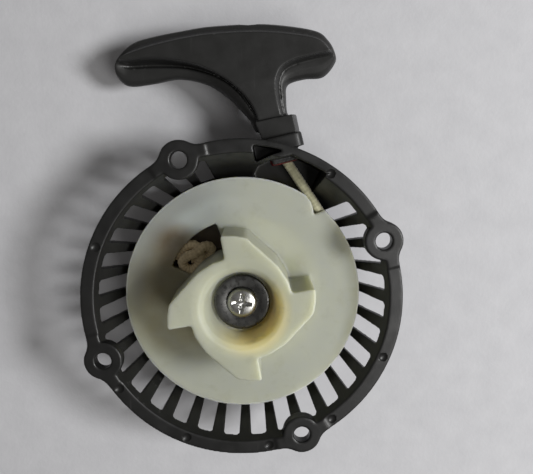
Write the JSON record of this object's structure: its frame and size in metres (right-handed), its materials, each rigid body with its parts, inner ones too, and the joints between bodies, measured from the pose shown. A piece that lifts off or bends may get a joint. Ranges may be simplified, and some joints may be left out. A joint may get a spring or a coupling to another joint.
{
  "type": "recoil starter",
  "caption": "Hand-pull recoil starter: slotted bowl housing, sprung rope reel with ratchet hub, rope guide and T-handle.",
  "frame": {"origin": "on the reel's axis, in the plane of the housing's flat outer face", "axes": "+Z along the reel's axis towards the engine, out of the mounting ears; +Y towards the handle; +X to the right seen from the engine side"},
  "size_m": [0.13, 0.175, 0.051],
  "materials": {
    "housing_plastic": "satin moulded black plastic",
    "handle_plastic": "satin moulded charcoal plastic",
    "nylon": "milky translucent natural nylon",
    "steel": "zinc-plated",
    "insert_brass": "turned brass",
    "spring_steel": "blued and oiled",
    "rope": "braided polyester",
    "guide_plastic": "moulded"
  },
  "bodies": {
    "housing": {"housing": "housing_plastic", "threaded_insert": "insert_brass", "rewind_spring": "spring_steel", "retaining_washer": "steel", "centre_screw": "steel", "rope_guide": "guide_plastic", "rope_run": "rope"},
    "reel": {"reel": "nylon", "rope_winding": "rope", "reel_knot": "rope"},
    "handle": {"handle": "handle_plastic", "rope_in_handle": "rope", "handle_knot": "rope"}
  },
  "joints": [
    {"name": "reel_spin", "type": "hinge", "parent": "housing", "child": "reel", "pos_m": [0, 0, 0], "axis": [0, 0, 1], "range_deg": [0, 1260], "stiffness_Nm_per_rad": 0.0045, "springref_deg": -630.25, "deforming": ["rewind_spring"]},
    {"name": "handle_pull", "type": "slide", "parent": "housing", "child": "handle", "axis": [-0.2419, 0.9703, 0], "range_m": [0, 0.891], "deforming": ["rope_run"]}
  ],
  "couplings": [
    {"joint": "handle_pull", "follows": "reel_spin", "m_per_rad": 0.0405}
  ]
}
